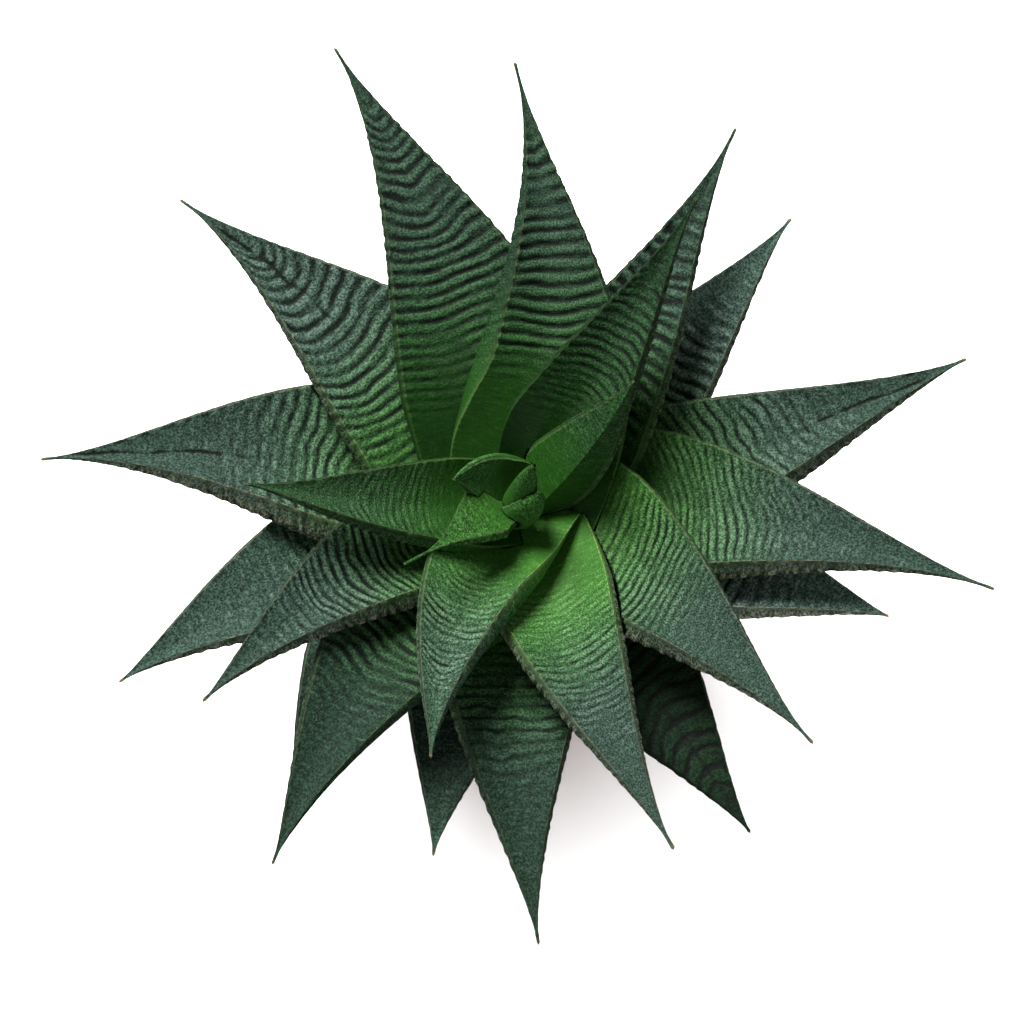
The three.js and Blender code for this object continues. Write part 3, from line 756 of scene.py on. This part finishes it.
class Nodes:
    """A small helper to lay out a material's nodes."""

    def __init__(self, name):
        self.material = bpy.data.materials.new(name)
        self.material.use_nodes = True
        self.tree = self.material.node_tree
        self.tree.nodes.clear()
        self.out = self.tree.nodes.new("ShaderNodeOutputMaterial")
        self.shader = self.tree.nodes.new("ShaderNodeBsdfPrincipled")
        self.link(self.shader.outputs["BSDF"], self.out.inputs["Surface"])

    def link(self, source, target):
        self.tree.links.new(source, target)

    def put(self, value, target):
        if hasattr(value, "links"):
            self.link(value, target)
        else:
            target.default_value = value

    def attribute(self, name):
        node = self.tree.nodes.new("ShaderNodeAttribute")
        node.attribute_name = name
        return node.outputs["Fac"]

    def position(self):
        return self.tree.nodes.new("ShaderNodeTexCoord").outputs["Object"]

    def math(self, operation, a, b=0.5):
        node = self.tree.nodes.new("ShaderNodeMath")
        node.operation = operation
        self.put(a, node.inputs[0])
        self.put(b, node.inputs[1])
        return node.outputs[0]

    def ramp(self, value, low, high, to_low=0.0, to_high=1.0, smooth_step=True):
        node = self.tree.nodes.new("ShaderNodeMapRange")
        node.interpolation_type = "SMOOTHSTEP" if smooth_step else "LINEAR"
        self.put(value, node.inputs["Value"])
        node.inputs["From Min"].default_value = low
        node.inputs["From Max"].default_value = high
        node.inputs["To Min"].default_value = to_low
        node.inputs["To Max"].default_value = to_high
        return node.outputs["Result"]

    def mix(self, factor, a, b, blend="MIX"):
        node = self.tree.nodes.new("ShaderNodeMix")
        node.data_type = "RGBA"
        node.blend_type = blend
        self.put(factor, node.inputs["Factor"])
        self.put(a, node.inputs["A"])
        self.put(b, node.inputs["B"])
        return node.outputs["Result"]

    def vector(self, x, y, z):
        node = self.tree.nodes.new("ShaderNodeCombineXYZ")
        for value, target in zip((x, y, z), node.inputs):
            self.put(value, target)
        return node.outputs["Vector"]

    def noise(self, scale, detail=2.0, roughness=0.5, vector=None):
        node = self.tree.nodes.new("ShaderNodeTexNoise")
        self.link(self.position() if vector is None else vector, node.inputs["Vector"])
        node.inputs["Scale"].default_value = scale
        node.inputs["Detail"].default_value = detail
        node.inputs["Roughness"].default_value = roughness
        return node.outputs["Fac"]

    def bump(self, height, distance, strength=1.0):
        """The normal of a bumpy surface. The distance is in metres."""
        node = self.tree.nodes.new("ShaderNodeBump")
        node.inputs["Distance"].default_value = distance
        node.inputs["Strength"].default_value = strength
        self.link(height, node.inputs["Height"])
        return node.outputs["Normal"]

    def finish(self, color, roughness, normal=None):
        self.put(color, self.shader.inputs["Base Color"])
        self.put(roughness, self.shader.inputs["Roughness"])
        if normal is not None:
            self.link(normal, self.shader.inputs["Normal"])
        return self.material


def face_color(m, ridge, outward):
    """Dark furrows, a middle tone and light crests: bright green near the heart, grey green further out. The
    pale crests and dark furrows are partly the skin's own colour and partly painted light and shade: the
    furrows and the crease along the midrib are made nearly black as painted shade, and the crests lighter as
    painted light.
    """
    # The furrows' near-black is painted shade
    shaded_furrow = m.mix(outward, srgb(5, 22, 3), srgb(8, 16, 12))
    middle = m.mix(outward, srgb(38, 80, 22), srgb(46, 66, 56))
    crest = m.mix(outward, srgb(72, 116, 54), srgb(80, 100, 90))
    color = m.mix(m.ramp(ridge, 0.1, 0.46), shaded_furrow, middle)
    return m.mix(m.ramp(ridge, 0.5, 0.92), color, crest)


def painted_light_color(m):
    """Painted light and shade: a factor that makes a leaf darker where it lies in shade and lighter where it
    catches the light. A darkened leaf is greener than the factor alone makes it, a lightened one less green.
    """
    painted_light_level = m.attribute("painted_light_level")
    dark = m.math("POWER", m.math("MINIMUM", painted_light_level, 1), 1.5)
    light = m.math("POWER", m.math("MAXIMUM", painted_light_level, 1), 1.15)
    muted = m.math("MULTIPLY", dark, light)
    return m.vector(muted, painted_light_level, muted)


def leaf_material():
    m = Nodes("leaf_skin")
    along = m.attribute("along")
    rough = m.attribute("rough")
    age = m.attribute("age")
    around = m.math("ABSOLUTE", m.attribute("around"))
    u = m.attribute("u")
    v = m.attribute("v")

    # Grain of the skin, and fine wrinkles that run across the leaf
    speck = m.noise(4.6, 1.0, 0.6, vector=m.vector(u, v, age))
    stretched = m.vector(m.math("MULTIPLY", u, 2.4), m.math("MULTIPLY", v, 0.7), age)
    wrinkle = m.noise(1, 3.0, 0.65, vector=stretched)
    ridge = m.math("ADD", m.attribute("ridge"), m.ramp(wrinkle, 0.3, 0.7, -0.18, 0.18, False))
    ridge = m.math("ADD", ridge, m.ramp(speck, 0.3, 0.7, -0.06, 0.06, False))

    # Face and back
    outward = m.math("MULTIPLY", m.ramp(along, 0.25, 0.68), m.ramp(age, 0.2, 0.7, 0.1, 1.0, False))
    color = face_color(m, ridge, outward)
    # The back's grey tan is its own colour; its lightness is partly painted light, standing in for light
    # thrown up from the floor below
    under = m.mix(m.ramp(ridge, 0.15, 0.85), srgb(30, 36, 28), srgb(136, 142, 118))
    color = m.mix(m.math("MULTIPLY", m.attribute("back"), 0.9), color, under)

    # Light and dark specks, and darker patches
    light = m.mix(m.ramp(speck, 0.34, 0.68), (0.42, 0.44, 0.42, 1), (1.75, 1.75, 1.75, 1))
    specked = m.mix(1.0, color, light, "MULTIPLY")
    color = m.mix(m.ramp(rough, 0.0, 1.0, 0.2, 1.0), color, specked)
    patched = m.mix(1.0, color, (0.6, 0.68, 0.6, 1), "MULTIPLY")
    color = m.mix(m.ramp(m.noise(260, 3.0), 0.35, 0.7, 0.0, 0.3), color, patched)

    # A pale broken line along the margins, and a dry tip on all but the youngest leaves
    line = m.math("MULTIPLY", m.ramp(around, 0.978, 1.0), m.ramp(around, 1.03, 1.0))
    line = m.math("MULTIPLY", line, m.ramp(wrinkle, 0.38, 0.6, 0.1, 0.8))
    color = m.mix(line, color, m.mix(outward, srgb(104, 132, 74), srgb(136, 140, 110)))
    dry = m.math("MULTIPLY", m.ramp(along, 0.985, 0.999), m.ramp(age, 0.2, 0.5))
    color = m.mix(dry, color, srgb(140, 118, 78))
    # Painted light and shade: each leaf made darker or lighter as a whole
    color = m.mix(1.0, color, painted_light_color(m), "MULTIPLY")

    height = m.math("ADD", m.math("MULTIPLY", speck, 0.6), m.math("MULTIPLY", wrinkle, 0.7))
    normal = m.bump(m.math("MULTIPLY", height, m.ramp(rough, 0.0, 1.0, 0.25, 1.0)), 0.00022)
    m.shader.inputs["Specular IOR Level"].default_value = 0.18
    return m.finish(color, m.ramp(rough, 0.0, 1.0, 0.5, 0.7), normal)


def terracotta_material():
    m = Nodes("terracotta")
    cloud = m.noise(60, 4.0, 0.6)
    fine = m.noise(1500, 3.0, 0.6)
    color = m.mix(m.ramp(cloud, 0.35, 0.7), srgb(176, 100, 66), srgb(192, 120, 84))
    color = m.mix(m.ramp(fine, 0.55, 0.75, 0.0, 0.35), color, srgb(214, 160, 128))
    color = m.mix(m.ramp(m.noise(2600, 1.0), 0.68, 0.74, 0.0, 0.6), color, srgb(96, 60, 44))
    return m.finish(color, 0.85, m.bump(fine, 0.00012, 0.6))


def soil_material():
    m = Nodes("soil")
    fine = m.noise(2600, 3.0, 0.7)
    color = m.mix(m.ramp(m.noise(420, 4.0, 0.6), 0.35, 0.65), srgb(38, 28, 21), srgb(74, 56, 42))
    color = m.mix(m.ramp(fine, 0.6, 0.72, 0.0, 0.5), color, srgb(128, 108, 86))
    return m.finish(color, 0.95, m.bump(fine, 0.0003, 0.8))


def grit_material():
    m = Nodes("grit")
    color = m.mix(m.ramp(m.noise(300), 0.3, 0.7), srgb(92, 78, 64), srgb(176, 160, 138))
    return m.finish(color, 0.85, m.bump(m.noise(3000, 3.0), 0.0002, 0.6))


def stem_material():
    m = Nodes("stem_skin")
    color = m.mix(m.ramp(m.noise(500, 3.0), 0.35, 0.7), srgb(84, 92, 52), srgb(134, 118, 80))
    return m.finish(color, 0.75, m.bump(m.noise(1800, 3.0), 0.0002, 0.7))


def floor_material():
    return Nodes("floor").finish(srgb(250, 250, 250), 0.9)


# ---- Pot, soil and stem ----

def inner_radius(height):
    """The radius of the pot's inside."""
    share = (height - POT_FLOOR) / (POT_HEIGHT - POT_FLOOR)
    return lerp(POT_FOOT_RADIUS - POT_WALL, POT_RIM_RADIUS - POT_WALL - POT_RIM_BAND_STEP, share)


def make_pot():
    band_bottom = POT_HEIGHT - POT_RIM_BAND_HEIGHT
    wall_top = POT_RIM_RADIUS - POT_RIM_BAND_STEP
    profile = rounded([
        [0, 0],
        [POT_FOOT_RADIUS, 0, 1],
        [wall_top - POT_BAND_SLANT, band_bottom - POT_BAND_SLANT / 2, 0.6],
        [POT_RIM_RADIUS, band_bottom, 0.9],
        [POT_RIM_RADIUS, POT_HEIGHT, 1],
        [inner_radius(POT_HEIGHT), POT_HEIGHT, 1],
        [inner_radius(POT_FLOOR), POT_FLOOR, 0.6],
        [0, POT_FLOOR],
    ], POT_EDGE)
    pot = lathe("pot_body", profile, POT_SIDES)
    low, high = -DRAIN_CUT_BELOW, POT_FLOOR + DRAIN_CUT_ABOVE
    rod = [[0, low], [DRAIN_HOLE_RADIUS, low], [DRAIN_HOLE_RADIUS, high], [0, high]]
    for i in range(DRAIN_HOLES):
        angle = 2 * math.pi * (i + 0.5) / DRAIN_HOLES
        hole = lathe("hole", rod, DRAIN_HOLE_SIDES)
        hole.location.x = DRAIN_RING_RADIUS * math.cos(angle) * MM
        hole.location.y = DRAIN_RING_RADIUS * math.sin(angle) * MM
        bpy.context.view_layer.update()
        combine(pot, hole, "DIFFERENCE")
        bpy.data.objects.remove(hole)
    shade_smooth(pot, 40)
    return pot


def soil_height(radius, turn):
    """The height of the soil's lumpy mound."""
    edge = inner_radius(SOIL_TOP)
    x, y = radius * np.cos(turn), radius * np.sin(turn)
    lumps = sum(height * noise(x / size, y / size, seed) for size, height, seed in SOIL_LUMPS)
    return SOIL_TOP + SOIL_MOUND * (1 - (radius / edge) ** 2) + lumps


def make_soil():
    bottom = POT_FLOOR + SOIL_FLOOR_GAP
    edge = inner_radius(SOIL_TOP) - SOIL_EDGE_GAP
    hole_radius = STEM_RADIUS + STEM_SIDE_GAP
    hole_bottom = SOIL_TOP - STEM_BURIED - STEM_FLOOR_GAP
    profile = [[0, bottom], [inner_radius(bottom) - SOIL_FOOT_GAP, bottom]]
    profile += [[edge, SOIL_TOP - SOIL_EDGE_DEPTH]]
    profile += [[float(radius), SOIL_TOP] for radius in np.linspace(edge, hole_radius, SOIL_RINGS)]
    profile += [[hole_radius, hole_bottom], [0, hole_bottom]]

    def shift(radius, height, turn):
        return radius, np.where(height >= SOIL_TOP, soil_height(radius, turn), height)

    soil = lathe("soil_bed", profile, SOIL_SIDES, shift)
    shade_smooth(soil, 60)
    return soil


def grain_shape():
    """The corners and faces of a ball with twenty sides."""
    phi = (1 + 5 ** 0.5) / 2
    corners = unit(np.array([
        [-1, phi, 0], [1, phi, 0], [-1, -phi, 0], [1, -phi, 0], [0, -1, phi], [0, 1, phi],
        [0, -1, -phi], [0, 1, -phi], [phi, 0, -1], [phi, 0, 1], [-phi, 0, -1], [-phi, 0, 1],
    ], dtype=float))
    faces = [
        [0, 11, 5], [0, 5, 1], [0, 1, 7], [0, 7, 10], [0, 10, 11], [1, 5, 9], [5, 11, 4], [11, 10, 2],
        [10, 7, 6], [7, 1, 8], [3, 9, 4], [3, 4, 2], [3, 2, 6], [3, 6, 8], [3, 8, 9], [4, 9, 5],
        [2, 4, 11], [6, 2, 10], [8, 6, 7], [9, 8, 1],
    ]
    return corners, faces


def make_grit():
    """Loose grains, half sunk in the soil, as one piece."""
    rng = np.random.default_rng(GRAIN_SEED)
    corners, grain_faces = grain_shape()
    inner = STEM_RADIUS + GRAIN_STEM_GAP
    outer = inner_radius(SOIL_TOP) - GRAIN_WALL_GAP
    points, faces = [], []
    for i in range(GRAINS):
        radius = math.sqrt(rng.uniform(inner ** 2, outer ** 2))
        turn = rng.uniform(0, 2 * math.pi)
        sizes = FINE_GRAINS if rng.random() < FINE_SHARE else COARSE_GRAINS
        size = rng.uniform(*sizes)
        stretch = rng.uniform(*GRAIN_STRETCH, 3) * size
        grain = corners * (1 + rng.uniform(-GRAIN_DENTS, GRAIN_DENTS, (len(corners), 1))) * stretch
        height = float(soil_height(np.array(radius), np.array(turn)))
        points.append(grain + [radius * math.cos(turn), radius * math.sin(turn), height + GRAIN_LIFT * size])
        faces += [[c + len(corners) * i for c in face] for face in grain_faces]
    grit = new_object("soil_grit", np.vstack(points), faces)
    shade_smooth(grit, 70)
    return grit


def stem_profile(grow):
    bottom = SOIL_TOP - STEM_BURIED - grow
    return [
        [0, bottom],
        [STEM_RADIUS - STEM_CHAMFER + grow, bottom],
        [STEM_RADIUS + grow, bottom + STEM_CHAMFER],
        [STEM_RADIUS + grow, STEM_SHOULDER],
        [STEM_NECK_RADIUS + grow, STEM_NECK],
        [STEM_CROWN_RADIUS, STEM_TOP + grow],
        [0, STEM_TOP + grow],
    ]


def make_stem():
    coarse = stem_profile(0)
    profile = []
    for (r0, h0), (r1, h1) in zip(coarse[:-1], coarse[1:]):
        steps = max(1, int(math.hypot(r1 - r0, h1 - h0) / STEM_STEP))
        profile += [[lerp(r0, r1, k / steps), lerp(h0, h1, k / steps)] for k in range(steps)]
    profile.append(coarse[-1])

    def shift(radius, height, turn):
        scars = SCAR_DEPTH * np.sin(height * SCARS_UP + np.sin(turn * SCAR_WAVES)) - SCAR_DEPTH
        return radius + scars * (radius > SCAR_LEAST_RADIUS), height

    stem = lathe("stem_core", profile, STEM_SIDES, shift)
    shade_smooth(stem, 60)
    return stem


# ---- Pieces ----

def carried(piece, material, slot, *nodes):
    """Give a piece its material and body, and say which of the part's nodes it replaces. The slot is not
    used.
    """
    piece.data.materials.clear()
    piece.data.materials.append(material)
    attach(piece, "root")
    if nodes:
        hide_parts(*nodes)


def leaf_slot(rank):
    if rank < FIRST_MIDDLE_RANK:
        return "young_leaf"
    return "middle_leaf" if rank < FIRST_OLD_RANK else "old_leaf"


def make_leaves():
    """All leaves, each cut clear of the stem and of the younger leaves."""
    material = leaf_material()
    taken = lathe("taken", stem_profile(CONTACT_GAP), STEM_ROOM_SIDES)
    for rank, spec in enumerate(LEAVES):
        piece = leaf_mesh(spec, rank)
        combine(piece, taken, "DIFFERENCE")
        keep_largest(piece)
        shade_smooth(piece, 70)
        carried(piece, material, leaf_slot(rank), f"leaf_{rank + 1:02d}")
        room = leaf_room(spec, rank)
        combine(taken, room, "UNION")
        bpy.data.objects.remove(room)
    bpy.data.objects.remove(taken)


# ---- Stage, light and camera ----

def make_stage():
    size = FLOOR_SIZE
    corners = [[-size, -size, 0], [size, -size, 0], [size, size, 0], [-size, size, 0]]
    floor = new_object("floor", corners, [[0, 1, 2, 3]])
    floor.location.z = -FLOOR_DROP * MM
    floor.data.materials.append(floor_material())
    floor.visible_diffuse = False
    floor.visible_glossy = False
    return floor


def area_light(name, azimuth, elevation, distance, size, power):
    data = bpy.data.lights.new(name, "AREA")
    data.shape = "DISK"
    data.size = size
    data.energy = power
    light = bpy.data.objects.new(name, data)
    bpy.context.scene.collection.objects.link(light)
    flat = distance * math.cos(math.radians(elevation))
    light.location = (
        flat * math.cos(math.radians(azimuth)),
        flat * math.sin(math.radians(azimuth)),
        distance * math.sin(math.radians(elevation)) + LAMP_AIM * MM,
    )
    light.rotation_euler = (math.radians(90 - elevation), 0, math.radians(azimuth + 90))
    return light


def make_sky():
    """White light from all round, a little stronger from below."""
    world = bpy.data.worlds.new("studio")
    world.use_nodes = True
    tree = world.node_tree
    background = tree.nodes["Background"]
    background.inputs["Color"].default_value = (1, 1, 1, 1)
    direction = tree.nodes.new("ShaderNodeSeparateXYZ")
    tree.links.new(tree.nodes.new("ShaderNodeTexCoord").outputs["Generated"], direction.inputs["Vector"])
    level = tree.nodes.new("ShaderNodeMapRange")
    tree.links.new(direction.outputs["Z"], level.inputs["Value"])
    level.inputs["From Min"].default_value, level.inputs["From Max"].default_value = SKY_HEIGHTS
    level.inputs["To Min"].default_value, level.inputs["To Max"].default_value = SKY_STRENGTHS
    tree.links.new(level.outputs["Result"], background.inputs["Strength"])
    bpy.context.scene.world = world


def make_light(floor):
    make_sky()
    area_light("key", *KEY_LAMP)
    area_light("fill", *FILL_LAMP)
    floor_only = bpy.data.collections.new("floor_only")
    floor_only.objects.link(floor)
    backdrop = area_light("backdrop", *FLOOR_LAMP)
    backdrop.light_linking.receiver_collection = floor_only
    bpy.context.scene.view_settings.view_transform = "Standard"


def make_camera():
    data = bpy.data.cameras.new("camera")
    data.lens = CAMERA_LENS
    data.sensor_width = CAMERA_SENSOR
    data.sensor_fit = "HORIZONTAL"
    data.clip_start = 0.01
    data.clip_end = 20
    camera = bpy.data.objects.new("camera", data)
    bpy.context.scene.collection.objects.link(camera)
    tilt = math.radians(90 - CAMERA_ELEVATION)
    x, y, z = CAMERA_TARGET
    camera.location = (
        x * MM,
        (y - CAMERA_DISTANCE * math.sin(tilt)) * MM,
        (z + CAMERA_DISTANCE * math.cos(tilt)) * MM,
    )
    camera.rotation_euler = (tilt, 0, 0)
    bpy.context.scene.camera = camera


make_camera()
make_light(make_stage())
make_leaves()
carried(make_pot(), terracotta_material(), "terracotta", "pot")
carried(make_soil(), soil_material(), "soil", "soil")
carried(make_grit(), grit_material(), "soil")
carried(make_stem(), stem_material(), "stem", "stem")
